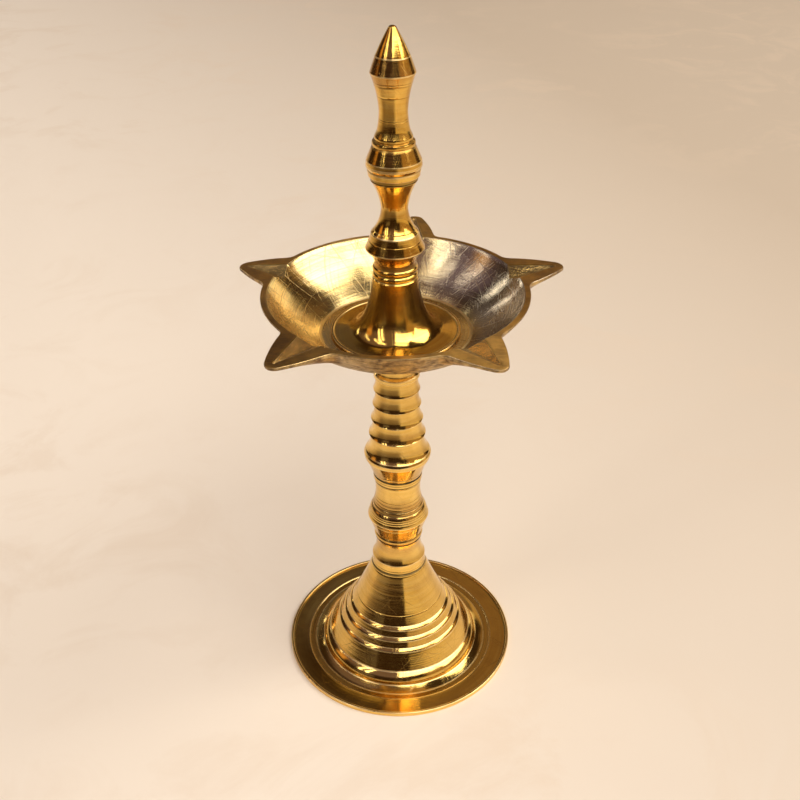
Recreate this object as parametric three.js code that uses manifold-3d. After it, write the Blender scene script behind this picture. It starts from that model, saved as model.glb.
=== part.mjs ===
// A pedestal oil lamp in brass: a hollow foot, a turned stem in three lengths, an open oil bowl
// with five spouts for wicks, and a finial that screws down through the bowl onto the stem.
// Millimetres, +Z up. The origin is on the lamp's axis, in the plane that the foot stands on.

import * as THREE from 'three';
import { ConvexGeometry } from 'three/addons/geometries/ConvexGeometry.js';
import { mergeVertices } from 'three/addons/utils/BufferGeometryUtils.js';
import Module from 'manifold-3d';

const wasm = await Module();
wasm.setup();

// Clearances
const seatGap = 0.3; // between two faces that meet when the lamp is screwed together
const spigotClearance = 0.25; // on the radius, between a spigot and its socket
const socketRelief = 1.0; // left below the end of a spigot or stud
const threadClearance = 0.25; // between the flanks of the stud and of the finial's thread
const holeClearance = 0.3; // on the radius, where the stud passes through the bowl and washers
const cutterMargin = 1.0; // by which a cutter passes the face that it opens

// Sides of each turned piece
const stemSides = 24;
const footSides = 36;
const bowlSides = 45;

// The foot, cast hollow
const foot = {
	standRadius: 55.3,
	rimHeight: 2.2,
	lipWidth: 1.3,
	dishDepth: 1.0,
	ridgeRadius: 45.7,
	grooveRadius: 42.6,
	grooveDepth: 0.3,
	bandFootRadius: 38.4,
	bandFootRise: 1.6,
	bandTopRadius: 34.8,
	bandHeight: 5.4,
	bandSwell: 0.75,
	skirtHeight: 9.7,
	terraces: 3,
	terraceRadius: 29.0,
	terraceStepIn: 2.9,
	terraceStepUp: 4.35,
	beadHeight: 1.45,
	beadWidth: 1.5,
	beadSwell: 0.3,
	coneHeight: 23.7,
	coneHollow: 0.7,
	topRadius: 12.9,
	wall: 3.2,
	mouthInset: 1.6,
	crownThickness: 12.0,
};

// The lowest length of the stem: a ring, and a waist above it
const lowerStem = {
	ringHeight: 4.7,
	ringTaper: 0.25,
	ringHollow: 0.15,
	waistRadius: 10.65,
	coveHeight: 7.3,
	coveHollow: 0.5,
	topRadius: 11.1,
	flareHeight: 4.3,
	flareHollow: 0.15,
	spigotRadius: 6.2,
	spigotLength: 10.0,
};

// The second length: a sharp-edged knop, with an astragal below and above its waist
const knopStem = {
	astragalHeight: 2.5,
	astragalSwell: 0.35,
	trumpetHeight: 9.6,
	trumpetHollow: 0.12,
	knopRadius: 14.3,
	shoulderRadius: 13.05,
	shoulderHeight: 4.1,
	collarRadius: 12.1,
	collarHeight: 1.9,
	waistRadius: 10.36,
	coveHeight: 8.5,
	coveHollow: 0.35,
	neckRadius: 10.8,
	neckHeight: 6.0,
	neckHollow: 0.1,
	topRadius: 11.2,
	ringHeight: 3.7,
	ringSwell: 0.25,
	spigotRadius: 5.0,
	spigotLength: 9.0,
};

// The third length: a banded knop, tapering ribs, a disc, and a neck that carries the bowl
const ribbedStem = {
	trumpetHeight: 9.5,
	trumpetHollow: 0.2,
	bandFootRadius: 15.05,
	bandRadius: 15.25,
	bandHeight: 1.8,
	bandTopRadius: 14.6,
	bandTopHeight: 1.2,
	ribRadii: [ 12.9, 11.75, 10.9, 10.4, 10.15 ],
	ribHeights: [ 9.0, 7.5, 8.5, 7.3, 7.0 ],
	ribHollow: 0.75,
	discHeight: 1.7,
	discTopFall: 1.2,
	neckRadius: 8.75,
	neckHeight: 7.2,
	seatRadius: 13.6,
	seatFlareHeight: 6.0,
	seatFlareHollow: 0.9,
	seatHeight: 1.2,
	spigotRadius: 5.0,
	spigotLength: 9.0,
};

// The screw that clamps the bowl between the stem and the finial
const thread = {
	majorRadius: 6.0,
	pitch: 2.5,
	depthShare: 0.4,
	crestShare: 0.1,
	baseShare: 0.32,
	rootSink: 0.5,
	turns: 3,
	leadLength: 1.0,
	leadInset: 0.5,
};
const threadDepth = thread.depthShare * thread.pitch;
const shankRise = 0.6; // of the stud's plain shank, into the mouth of the finial's thread

const washerThickness = 0.8;
const seatWasherRadius = 12.8;
const bellWasherRadius = 17.4;

// The oil bowl, open above, with its spouts
const bowl = {
	floorRadius: 29.5,
	floorThickness: 3.2,
	basinRadius: 32.0,
	rampRadius: 35.7,
	rampHeight: 2.3,
	rimRadius: 56.0,
	rimWidth: 2.6,
	rimEdge: 0.7,
	height: 22.2,
	outerSwell: 2.4,
	innerSwell: 1.6,
};

// The spouts are finished by hand, so each has a direction and a reach of its own
const spout = {
	angles: [ 17.8, 82.8, 158.2, 231.2, 302.4 ],
	reaches: [ 20.2, 22.2, 16.6, 20.3, 18.6 ],
	tipRounding: 4.2,
	tipArc: 52,
	tipSteps: 2,
	rootInset: 5.0,
	rootHalfWidth: 14.2,
	sideSwell: 1.1,
	rootSideHeight: 1.8,
	tipSideHeight: 1.2,
	keelRootInset: 10.0,
	rootKeelDepth: 10.2,
	tipKeelDepth: 2.6,
};
const spoutRootRadius = bowl.rimRadius - spout.rootInset;

const groove = {
	rootInset: 7.0,
	rootHalfWidth: 7.4,
	rootDepth: 3.4,
	tipHalfWidth: 0.7,
	tipDepth: 0.5,
	endMargin: 3.4,
};

// The finial's lower half: a bell that covers the stud, two rings, a knop and a neck
const bell = {
	flangeRadius: 27.5,
	flangeEdge: 0.9,
	flangeTopRadius: 20.0,
	flangeFall: 0.6,
	washerMargin: 0.6,
	throatRadius: 9.4,
	throatHeight: 23.6,
	curveRadius: 11.5,
	curveHeight: 3.0,
	grooveRadius: 8.8,
	grooveWidth: 0.6,
	ringSwell: 0.6,
	ringHeight: 2.3,
	rings: 2,
	neckRadius: 8.5,
	neckHeight: 1.8,
	knopRadius: 12.2,
	knopFlareHeight: 5.6,
	knopFlareHollow: 0.5,
	shoulderRadius: 9.7,
	shoulderHeight: 6.8,
	shoulderHollow: 0.2,
	waistRadius: 5.42,
	waistFall: 10.4,
	waistFallHollow: 1.0,
	topRadius: 9.5,
	topFlareHeight: 12.0,
	topFlareHollow: 0.72,
	mouthDepth: 0.9,
	threadRunIn: 0.75,
	threadRunOut: 0.25,
};

// The finial's upper half: two bands, two rings, a slender neck and a pointed bud
const spire = {
	footHeight: 1.1,
	footStep: 0.4,
	lowerBandFoot: 10.3,
	lowerBandRadius: 10.6,
	lowerBandHeight: 2.1,
	grooveRadius: 10.45,
	grooveHeight: 0.5,
	upperBandRadius: 11.15,
	upperBandFlare: 1.3,
	upperBandHeight: 0.7,
	upperBandTop: 10.9,
	upperBandFall: 1.6,
	coneRadius: 8.7,
	coneHeight: 5.2,
	ringRadii: [ 8.3, 7.3 ],
	ringHeight: 1.7,
	ringSwell: 0.25,
	ringStepHeight: 0.55,
	neckFootRadius: 6.5,
	neckFootHeight: 1.8,
	waistRadius: 5.6,
	waistHeight: 7.7,
	waistHollow: 0.23,
	budRadius: 8.8,
	budFlareHeight: 14.3,
	budFlareHollow: 0.6,
	budShoulderRadius: 6.65,
	budShoulderHeight: 6.0,
	tipRadius: 1.7,
	tipHeight: 9.8,
	tipSwell: 0.15,
	pointHeight: 1.0,
	pointSwell: 0.35,
	spigotRadius: 3.0,
	spigotLength: 8.0,
};

const brass = { color: 0xc8963c, roughness: 0.28, metalness: 1 };
const darkBrass = { color: 0x9a6f30, roughness: 0.38, metalness: 1 };
const sealRubber = { color: 0x2a2320, roughness: 0.85, metalness: 0 };

// Follows a profile of radius and height, as a turner cuts it
class Outline {

	constructor( radius, height ) {

		this.points = [ new THREE.Vector2( radius, height ) ];

	}

	get end() {

		return this.points[ this.points.length - 1 ];

	}

	to( radius, height ) {

		this.points.push( new THREE.Vector2( radius, height ) );
		return this;

	}

	// A straight cut to a radius, rising by a height
	cut( radius, rise ) {

		return this.to( radius, this.end.y + rise );

	}

	// A curved cut, which swells to the right of its travel by swell at its middle
	curve( radius, rise, swell, steps = 3 ) {

		const start = this.end;
		const end = new THREE.Vector2( radius, start.y + rise );
		const chord = end.clone().sub( start );
		const side = new THREE.Vector2( chord.y, - chord.x ).setLength( 2 * swell );
		const middle = start.clone().add( end ).multiplyScalar( 0.5 ).add( side );
		const bezier = new THREE.QuadraticBezierCurve( start, middle, end );
		this.points.push( ...bezier.getPoints( steps ).slice( 1 ) );
		return this;

	}

}

// Turns a profile about the vertical axis
function turn( outline, sides ) {

	return new THREE.LatheGeometry( outline.points, sides ).rotateX( Math.PI / 2 );

}

function solid( geometry ) {

	geometry.deleteAttribute( 'normal' );
	geometry.deleteAttribute( 'uv' );
	const merged = mergeVertices( geometry, 1e-4 );
	return new wasm.Manifold( new wasm.Mesh( {
		numProp: 3,
		vertProperties: new Float32Array( merged.attributes.position.array ),
		triVerts: new Uint32Array( merged.index.array ),
	} ) );

}

function geometryOf( manifold ) {

	const mesh = manifold.getMesh();
	const geometry = new THREE.BufferGeometry();
	geometry.setAttribute( 'position', new THREE.BufferAttribute( mesh.vertProperties, 3 ) );
	geometry.setIndex( new THREE.BufferAttribute( mesh.triVerts, 1 ) );
	return geometry;

}

function piece( name, geometry, finish ) {

	const mesh = new THREE.Mesh( geometry, new THREE.MeshStandardMaterial( finish ) );
	mesh.name = name;
	return mesh;

}

// The helical ridge of the screw, right-handed, from one count of turns to another above the
// height where it starts. The allowance grows it on every side.
function ridge( start, from, to, allowance ) {

	const root = thread.majorRadius - threadDepth + allowance;
	const major = thread.majorRadius + allowance;
	const halfCrest = thread.crestShare * thread.pitch + allowance;
	const halfBase = thread.baseShare * thread.pitch + allowance;
	const section = new THREE.Shape();
	section.moveTo( root - thread.rootSink, - halfBase );
	section.lineTo( root, - halfBase );
	section.lineTo( major, - halfCrest );
	section.lineTo( major, halfCrest );
	section.lineTo( root, halfBase );
	section.lineTo( root - thread.rootSink, halfBase );
	section.closePath();

	const steps = Math.round( ( to - from ) * stemSides );
	const strip = new THREE.ExtrudeGeometry( section, { depth: to - from, steps, bevelEnabled: false } );
	const position = strip.attributes.position;
	for ( let i = 0; i < position.count; i ++ ) {

		const turns = from + position.getZ( i );
		const radius = position.getX( i );
		const x = radius * Math.cos( 2 * Math.PI * turns );
		const y = radius * Math.sin( 2 * Math.PI * turns );
		position.setXYZ( i, x, y, start + thread.pitch * turns - position.getY( i ) );

	}

	return solid( strip );

}

// Heights, from the table up
const dishHeight = foot.rimHeight - foot.dishDepth;
const bandFootHeight = dishHeight - foot.grooveDepth + foot.bandFootRise;
const bandTopHeight = bandFootHeight + foot.bandHeight;
const lastTerraceHeight = bandTopHeight + foot.skirtHeight + ( foot.terraces - 1 ) * foot.terraceStepUp;
const footTop = lastTerraceHeight + foot.coneHeight;
const lowerStemBottom = footTop + seatGap;
const lowerStemTop = lowerStemBottom + lowerStem.ringHeight + lowerStem.coveHeight + lowerStem.flareHeight;
const knopStemBottom = lowerStemTop + seatGap;
const knopStemTop = knopStemBottom + knopStem.astragalHeight + knopStem.trumpetHeight
	+ knopStem.shoulderHeight + knopStem.collarHeight + knopStem.coveHeight
	+ knopStem.neckHeight + knopStem.ringHeight;
const ribbedStemBottom = knopStemTop + seatGap;
const ribsHeight = ribbedStem.ribHeights.reduce( ( sum, height ) => sum + height, 0 );
const seatHeight = ribbedStemBottom + ribbedStem.trumpetHeight + ribbedStem.bandHeight
	+ ribbedStem.bandTopHeight + ribsHeight + ribbedStem.discHeight + ribbedStem.discTopFall
	+ ribbedStem.neckHeight + ribbedStem.seatFlareHeight + ribbedStem.seatHeight;
const seatWasherBottom = seatHeight + seatGap;
const bowlBottom = seatWasherBottom + washerThickness + seatGap;
const floorHeight = bowlBottom + bowl.floorThickness;
const rimTop = bowlBottom + bowl.height;
const bellBottom = floorHeight + seatGap;
const recessTop = bellBottom + washerThickness + seatGap;
const threadStart = recessTop + shankRise;
const studTop = threadStart + ( thread.turns + thread.baseShare ) * thread.pitch + thread.leadLength;
const boreTop = studTop + socketRelief;
const bellTop = bellBottom + bell.flangeEdge + bell.flangeFall + bell.throatHeight
	+ bell.rings * ( bell.grooveWidth + bell.ringHeight ) + bell.neckHeight + bell.knopFlareHeight
	+ bell.shoulderHeight + bell.waistFall + bell.topFlareHeight;
const spireBottom = bellTop + seatGap;

function makeFoot() {

	const socketRadius = lowerStem.spigotRadius + spigotClearance;
	const crownBottom = footTop - foot.crownThickness;
	const lastTerraceRadius = foot.terraceRadius - ( foot.terraces - 1 ) * foot.terraceStepIn;
	const coneSlope = ( lastTerraceRadius - foot.topRadius ) / foot.coneHeight;
	const crownRadius = foot.topRadius + coneSlope * foot.crownThickness - foot.coneHollow - foot.wall;
	const outline = new Outline( socketRadius, footTop );
	outline.to( socketRadius, crownBottom );
	outline.to( crownRadius, crownBottom );
	outline.to( foot.bandTopRadius - foot.wall, bandTopHeight );
	outline.to( foot.bandFootRadius - foot.mouthInset, 0 );
	outline.to( foot.standRadius, 0 );
	outline.cut( foot.standRadius, foot.rimHeight );
	outline.cut( foot.standRadius - foot.lipWidth, 0 );
	outline.to( foot.ridgeRadius, dishHeight );
	outline.cut( foot.grooveRadius, - foot.grooveDepth );
	outline.cut( foot.bandFootRadius, foot.bandFootRise );
	outline.curve( foot.bandTopRadius, foot.bandHeight, foot.bandSwell );
	for ( let i = 0; i < foot.terraces; i ++ ) {

		const radius = foot.terraceRadius - i * foot.terraceStepIn;
		const rise = i === 0 ? foot.skirtHeight : foot.terraceStepUp;
		outline.cut( radius + foot.beadWidth, rise - foot.beadHeight );
		outline.curve( radius, foot.beadHeight, foot.beadSwell, 2 );

	}

	outline.curve( foot.topRadius, foot.coneHeight, - foot.coneHollow );
	outline.to( socketRadius, footTop );
	return piece( 'base_foot', turn( outline, footSides ), darkBrass );

}

// The end of a spigot, its side and the seat around it, up to the outside of a stem piece
function spigotOutline( radius, length, footRadius, seat ) {

	return new Outline( 0, seat - length ).to( radius, seat - length ).to( radius, seat ).to( footRadius, seat );

}

// The seat on top of a stem piece, and the socket sunk in it
function socketTo( outline, radius, length ) {

	const top = outline.end.y;
	const bottom = top + seatGap - length - socketRelief;
	outline.to( radius + spigotClearance, top );
	outline.to( radius + spigotClearance, bottom );
	outline.to( 0, bottom );
	return outline;

}

function makeLowerStem() {

	const s = lowerStem;
	const outline = spigotOutline( s.spigotRadius, s.spigotLength, foot.topRadius, lowerStemBottom );
	outline.curve( foot.topRadius - s.ringTaper, s.ringHeight, - s.ringHollow, 2 );
	outline.curve( s.waistRadius, s.coveHeight, - s.coveHollow, 4 );
	outline.curve( s.topRadius, s.flareHeight, - s.flareHollow, 2 );
	socketTo( outline, knopStem.spigotRadius, knopStem.spigotLength );
	return piece( 'lower_stem', turn( outline, stemSides ), brass );

}

function makeKnopStem() {

	const s = knopStem;
	const outline = spigotOutline( s.spigotRadius, s.spigotLength, lowerStem.topRadius, knopStemBottom );
	outline.curve( lowerStem.topRadius, s.astragalHeight, s.astragalSwell );
	outline.curve( s.knopRadius, s.trumpetHeight, - s.trumpetHollow );
	outline.cut( s.shoulderRadius, s.shoulderHeight );
	outline.cut( s.collarRadius, s.collarHeight );
	outline.curve( s.waistRadius, s.coveHeight, - s.coveHollow );
	outline.curve( s.neckRadius, s.neckHeight, - s.neckHollow, 2 );
	outline.curve( s.topRadius, s.ringHeight, s.ringSwell );
	socketTo( outline, ribbedStem.spigotRadius, ribbedStem.spigotLength );
	return piece( 'knop_stem', turn( outline, stemSides ), brass );

}

function makeRibbedStem() {

	const s = ribbedStem;
	const outline = spigotOutline( s.spigotRadius, s.spigotLength, knopStem.topRadius, ribbedStemBottom );
	outline.curve( s.bandFootRadius, s.trumpetHeight, - s.trumpetHollow );
	outline.cut( s.bandRadius, s.bandHeight );
	outline.cut( s.bandTopRadius, s.bandTopHeight );
	s.ribRadii.forEach( ( radius, i ) => outline.curve( radius, s.ribHeights[ i ], - s.ribHollow, 4 ) );
	outline.cut( s.ribRadii.at( - 1 ), s.discHeight );
	outline.cut( s.neckRadius, s.discTopFall );
	outline.cut( s.neckRadius, s.neckHeight );
	outline.curve( s.seatRadius, s.seatFlareHeight, - s.seatFlareHollow );
	outline.cut( s.seatRadius, s.seatHeight );
	outline.to( thread.majorRadius, seatHeight );
	outline.to( thread.majorRadius, threadStart );
	outline.to( thread.majorRadius - threadDepth, threadStart );
	outline.to( thread.majorRadius - threadDepth, studTop - thread.leadLength );
	outline.cut( thread.majorRadius - threadDepth - thread.leadInset, thread.leadLength );
	outline.to( 0, studTop );
	const stem = solid( turn( outline, stemSides ) ).add( ridge( threadStart, 0, thread.turns, 0 ) );
	return piece( 'ribbed_stem', geometryOf( stem ), brass );

}

function makeWasher( name, outerRadius, bottom ) {

	const innerRadius = thread.majorRadius + holeClearance;
	const outline = new Outline( innerRadius, bottom ).to( outerRadius, bottom );
	outline.cut( outerRadius, washerThickness ).to( innerRadius, outline.end.y ).to( innerRadius, bottom );
	return piece( name, turn( outline, stemSides ), sealRubber );

}

// One spout along +X, with a flat top, low sides and a keel below
function spoutBody( tipRadius ) {

	const tipCentre = tipRadius - spout.tipRounding;
	const root = new THREE.Vector2( spoutRootRadius, spout.rootHalfWidth );
	const side = new Outline( root.x, root.y );
	const arcStart = THREE.MathUtils.degToRad( spout.tipArc );
	const tangent = new THREE.Vector2( tipCentre, 0 );
	tangent.x += spout.tipRounding * Math.cos( arcStart );
	tangent.y += spout.tipRounding * Math.sin( arcStart );
	side.curve( tangent.x, tangent.y - root.y, - spout.sideSwell, 3 );
	for ( let i = 1; i <= spout.tipSteps; i ++ ) {

		const angle = arcStart * ( 1 - i / spout.tipSteps );
		side.to( tipCentre + spout.tipRounding * Math.cos( angle ), spout.tipRounding * Math.sin( angle ) );

	}

	const points = [];
	for ( const { x, y } of side.points ) {

		const along = ( x - spoutRootRadius ) / ( tipRadius - spoutRootRadius );
		const sideHeight = THREE.MathUtils.lerp( spout.rootSideHeight, spout.tipSideHeight, along );
		for ( const width of [ y, - y ] ) {

			points.push( new THREE.Vector3( x, width, rimTop ) );
			points.push( new THREE.Vector3( x, width, rimTop - sideHeight ) );

		}

	}

	points.push( new THREE.Vector3( bowl.rimRadius - spout.keelRootInset, 0, rimTop - spout.rootKeelDepth ) );
	points.push( new THREE.Vector3( tipCentre, 0, rimTop - spout.tipKeelDepth ) );
	return new ConvexGeometry( points );

}

// The V-shaped groove that a wick lies in, cut from above
function wickGroove( tipRadius ) {

	const points = [];
	const ends = [
		[ bowl.rimRadius - groove.rootInset, groove.rootHalfWidth, groove.rootDepth ],
		[ tipRadius - groove.endMargin, groove.tipHalfWidth, groove.tipDepth ],
	];
	for ( const [ radius, halfWidth, depth ] of ends ) {

		const liftedHalfWidth = halfWidth * ( depth + cutterMargin ) / depth;
		points.push( new THREE.Vector3( radius, liftedHalfWidth, rimTop + cutterMargin ) );
		points.push( new THREE.Vector3( radius, - liftedHalfWidth, rimTop + cutterMargin ) );
		points.push( new THREE.Vector3( radius, 0, rimTop - depth ) );

	}

	return new ConvexGeometry( points );

}

function makeBowl() {

	const b = bowl;
	const wallHeight = b.height - b.rimEdge;
	const outside = new Outline( 0, bowlBottom ).to( b.floorRadius, bowlBottom );
	outside.curve( b.rimRadius, wallHeight, b.outerSwell, 5 );
	outside.cut( b.rimRadius, b.rimEdge ).to( 0, rimTop );

	const innerRimRadius = b.rimRadius - b.rimWidth;
	const inside = new Outline( 0, floorHeight ).to( b.basinRadius, floorHeight );
	inside.cut( b.rampRadius, b.rampHeight );
	inside.curve( innerRimRadius, rimTop - inside.end.y, b.innerSwell, 5 );
	inside.cut( innerRimRadius, cutterMargin ).to( 0, inside.end.y );

	const holeRadius = thread.majorRadius + holeClearance;
	const hole = new Outline( 0, bowlBottom - cutterMargin ).to( holeRadius, bowlBottom - cutterMargin );
	hole.to( holeRadius, floorHeight + cutterMargin ).to( 0, floorHeight + cutterMargin );

	let body = solid( turn( outside, bowlSides ) );
	const spouts = spout.angles.map( ( degrees, i ) => ( {
		angle: THREE.MathUtils.degToRad( degrees ),
		tipRadius: b.rimRadius + spout.reaches[ i ],
	} ) );
	for ( const { angle, tipRadius } of spouts ) {

		body = body.add( solid( spoutBody( tipRadius ).rotateZ( angle ) ) );

	}

	body = body.subtract( solid( turn( inside, bowlSides ) ) ).subtract( solid( turn( hole, stemSides ) ) );
	for ( const { angle, tipRadius } of spouts ) {

		body = body.subtract( solid( wickGroove( tipRadius ).rotateZ( angle ) ) );

	}

	return piece( 'oil_bowl', geometryOf( body ), brass );

}

function makeBell() {

	const s = bell;
	const boreRadius = thread.majorRadius - threadDepth + threadClearance;
	const recessRadius = bellWasherRadius + s.washerMargin;
	const mouthRadius = thread.majorRadius + holeClearance;
	const outline = new Outline( 0, boreTop ).to( boreRadius, boreTop );
	outline.to( boreRadius, threadStart + s.mouthDepth );
	outline.to( mouthRadius, threadStart + s.mouthDepth );
	outline.to( mouthRadius, recessTop );
	outline.to( recessRadius, recessTop );
	outline.to( recessRadius, bellBottom );
	outline.to( s.flangeRadius, bellBottom );
	outline.cut( s.flangeRadius, s.flangeEdge );
	outline.cut( s.flangeTopRadius, s.flangeFall );
	const start = outline.end;
	const bezier = new THREE.QuadraticBezierCurve(
		start,
		new THREE.Vector2( s.curveRadius, start.y + s.curveHeight ),
		new THREE.Vector2( s.throatRadius, start.y + s.throatHeight ),
	);
	outline.points.push( ...bezier.getPoints( 6 ).slice( 1 ) );
	for ( let i = 0; i < s.rings; i ++ ) {

		outline.cut( s.grooveRadius, s.grooveWidth );
		outline.curve( s.grooveRadius, s.ringHeight, s.ringSwell );

	}

	outline.cut( s.neckRadius, s.neckHeight );
	outline.curve( s.knopRadius, s.knopFlareHeight, - s.knopFlareHollow );
	outline.curve( s.shoulderRadius, s.shoulderHeight, - s.shoulderHollow, 2 );
	outline.curve( s.waistRadius, s.waistFall, - s.waistFallHollow, 4 );
	outline.curve( s.topRadius, s.topFlareHeight, - s.topFlareHollow, 4 );
	socketTo( outline, spire.spigotRadius, spire.spigotLength );
	const cutter = ridge( threadStart, - s.threadRunIn, thread.turns + s.threadRunOut, threadClearance );
	return piece( 'finial_bell', geometryOf( solid( turn( outline, stemSides ) ).subtract( cutter ) ), brass );

}

function makeSpire() {

	const s = spire;
	const outline = spigotOutline( s.spigotRadius, s.spigotLength, bell.topRadius, spireBottom );
	outline.cut( bell.topRadius, s.footHeight );
	outline.cut( s.lowerBandFoot, s.footStep );
	outline.cut( s.lowerBandRadius, s.lowerBandHeight );
	outline.cut( s.grooveRadius, s.grooveHeight );
	outline.cut( s.upperBandRadius, s.upperBandFlare );
	outline.cut( s.upperBandRadius, s.upperBandHeight );
	outline.cut( s.upperBandTop, s.upperBandFall );
	outline.cut( s.coneRadius, s.coneHeight );
	for ( const radius of s.ringRadii ) {

		outline.cut( radius, s.ringStepHeight );
		outline.curve( radius, s.ringHeight, s.ringSwell, 2 );

	}

	outline.cut( s.neckFootRadius, s.neckFootHeight );
	outline.curve( s.waistRadius, s.waistHeight, - s.waistHollow );
	outline.curve( s.budRadius, s.budFlareHeight, - s.budFlareHollow, 4 );
	outline.cut( s.budShoulderRadius, s.budShoulderHeight );
	outline.curve( s.tipRadius, s.tipHeight, s.tipSwell, 2 );
	outline.curve( 0, s.pointHeight, s.pointSwell, 2 );
	return piece( 'finial_spire', turn( outline, stemSides ), brass );

}

const model = new THREE.Group();
model.add( makeFoot(), makeLowerStem(), makeKnopStem(), makeRibbedStem() );
model.add( makeWasher( 'seat_washer', seatWasherRadius, seatWasherBottom ), makeBowl() );
model.add( makeWasher( 'bell_washer', bellWasherRadius, bellBottom ), makeBell(), makeSpire() );

export default model;
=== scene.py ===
# A pedestal oil lamp in turned brass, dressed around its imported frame.
# Metres, +Z up, with the lamp's axis on Z and the table at Z = 0. The pieces' dictionaries are in millimetres,
# and those of the table, the light and the camera are in metres.

import bpy
import bmesh
import math
from mathutils import Matrix, Vector


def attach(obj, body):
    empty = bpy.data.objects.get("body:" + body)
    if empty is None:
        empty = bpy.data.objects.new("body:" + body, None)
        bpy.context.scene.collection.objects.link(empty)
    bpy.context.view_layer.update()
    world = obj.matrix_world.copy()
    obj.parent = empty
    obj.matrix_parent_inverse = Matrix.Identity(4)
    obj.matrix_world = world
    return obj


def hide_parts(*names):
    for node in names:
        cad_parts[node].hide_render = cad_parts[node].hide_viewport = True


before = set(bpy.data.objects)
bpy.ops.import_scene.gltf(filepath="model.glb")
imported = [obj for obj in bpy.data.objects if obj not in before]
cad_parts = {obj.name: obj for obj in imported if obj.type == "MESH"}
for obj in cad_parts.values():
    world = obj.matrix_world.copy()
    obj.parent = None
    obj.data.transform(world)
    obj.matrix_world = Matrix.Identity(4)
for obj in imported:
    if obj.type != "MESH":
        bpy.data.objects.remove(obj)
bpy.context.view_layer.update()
mm = 0.001
print("frame loaded,", len(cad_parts), "nodes")


# small helpers for shader nodes

def addNode(tree, kind, values=None, **settings):
    node = tree.nodes.new("ShaderNode" + kind)
    for key, value in settings.items():
        setattr(node, key, value)
    for key, value in (values or {}).items():
        plug = node.inputs[key]
        if isinstance(value, bpy.types.NodeSocket):
            tree.links.new(value, plug)
        else:
            plug.default_value = value
    return node


def calc(tree, operation, first, second=0.0, third=0.0, clamp=False):
    values = {0: first, 1: second, 2: third}
    return addNode(tree, "Math", values, operation=operation, use_clamp=clamp).outputs[0]


def mixColour(tree, amount, under, over, way="MIX"):
    values = {0: amount, 6: under, 7: over}
    return addNode(tree, "Mix", values, data_type="RGBA", blend_type=way).outputs[2]


def mixValue(tree, amount, under, over):
    return addNode(tree, "Mix", {0: amount, 2: under, 3: over}).outputs[0]


def mapRange(tree, value, low, high, toLow=0.0, toHigh=1.0, smooth=False):
    values = {"Value": value, "From Min": low, "From Max": high, "To Min": toLow, "To Max": toHigh}
    kind = "SMOOTHSTEP" if smooth else "LINEAR"
    return addNode(tree, "MapRange", values, interpolation_type=kind, clamp=True).outputs[0]


def noiseOn(tree, vector, scale, detail=2.0, roughness=0.5, distortion=0.0):
    values = {"Vector": vector, "Scale": scale, "Detail": detail, "Roughness": roughness,
              "Distortion": distortion}
    return addNode(tree, "TexNoise", values).outputs[0]


def emptyMaterial(name):
    material = bpy.data.materials.new(name)
    material.use_nodes = True
    tree = material.node_tree
    tree.nodes.clear()
    return material, tree


# brass

def aroundTheAxis(tree):
    # radius, height and angle of the surface point, for patterns that a lathe leaves
    place = addNode(tree, "TexCoord").outputs["Object"]
    parts = addNode(tree, "SeparateXYZ", {0: place})
    x, y, z = parts.outputs
    flat = addNode(tree, "CombineXYZ", {0: x, 1: y})
    radius = addNode(tree, "VectorMath", {0: flat.outputs[0]}, operation="LENGTH").outputs["Value"]
    angle = calc(tree, "ARCTAN2", y, x)
    return place, radius, angle, z


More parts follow.
